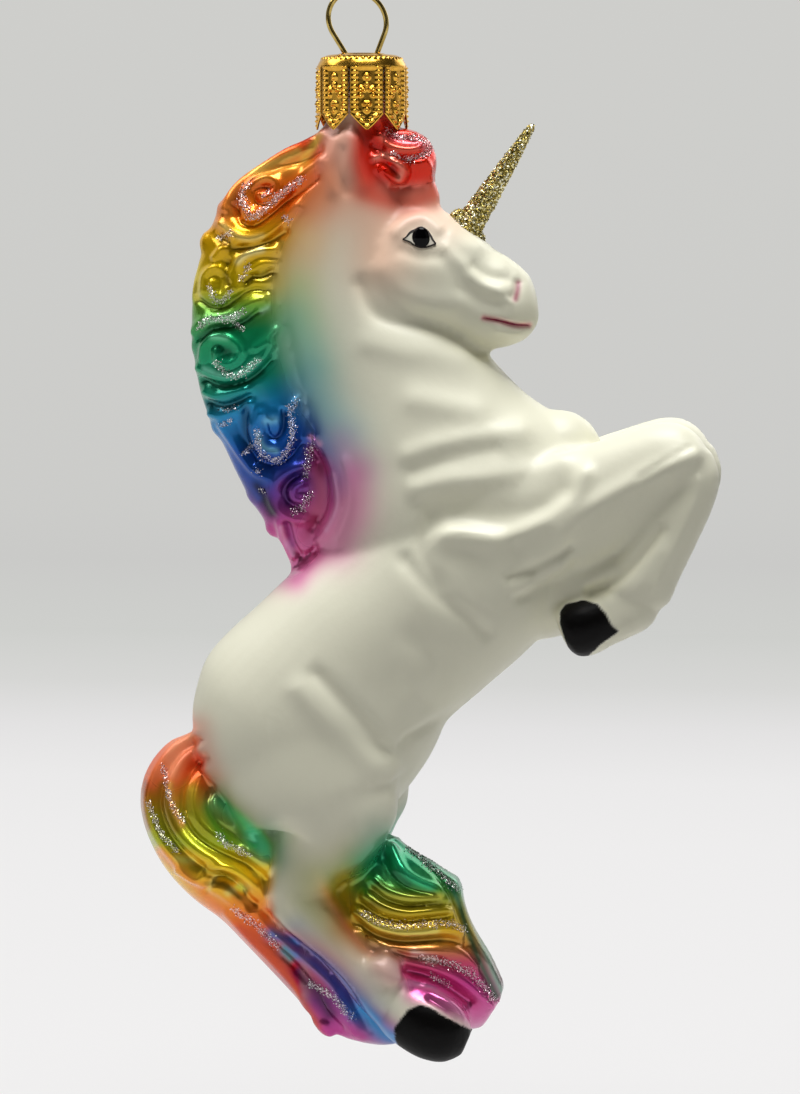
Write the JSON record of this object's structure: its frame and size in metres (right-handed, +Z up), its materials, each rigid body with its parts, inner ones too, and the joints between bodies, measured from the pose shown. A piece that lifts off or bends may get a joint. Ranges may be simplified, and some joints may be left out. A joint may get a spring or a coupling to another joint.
{
  "type": "unicorn figurine",
  "caption": "Hanging blown glass unicorn ornament with raised foreleg, coloured mane and tail, glitter horn, crown cap and wire hanging loop.",
  "frame": {"origin": "top of the inside of the hanging loop, where a hook bears", "axes": "+Z up along the spout and the cap's axis, +X the way the animal faces, +Y its left side"},
  "size_m": [0.0875, 0.0312, 0.1617],
  "materials": {
    "gold_wire": "polished gilt wire",
    "gilt_cap": "stamped gilt sheet",
    "pearl_glass": "matte pearl lacquer on glass",
    "mane_lustre": "metallic lustre on glass, rainbow from orange to magenta",
    "forelock_lustre": "red metallic lustre on glass",
    "tail_lustre": "metallic lustre on glass, rainbow from red to blue",
    "hoof_enamel": "black enamel on glass",
    "horn_glitter": "gold glitter on glass",
    "glitter_glue": "dried glue with glitter",
    "eye_enamel": "raised gloss enamel"
  },
  "bodies": {
    "pendant": {"pendant_wire": "gold_wire"},
    "cap": {"cap": "gilt_cap"},
    "figure": {"body_shell": "pearl_glass", "mane_shell": "mane_lustre", "forelock_shell": "forelock_lustre", "tail_shell": "tail_lustre", "right_fore_hoof": "hoof_enamel", "left_fore_hoof": "hoof_enamel", "right_hind_hoof": "hoof_enamel", "left_hind_hoof": "hoof_enamel", "horn": "horn_glitter", "horn_collar": "glitter_glue", "right_eye": "eye_enamel", "left_eye": "eye_enamel"}
  },
  "joints": [
    {"name": "cap_swivel", "type": "hinge", "parent": "pendant", "child": "cap", "pos_m": [0, 0, 0], "axis": [0, 0, 1], "continuous": true},
    {"name": "figure_pull_off", "type": "slide", "parent": "cap", "child": "figure", "axis": [0, 0, -1], "range_m": [0, 0.016]}
  ]
}
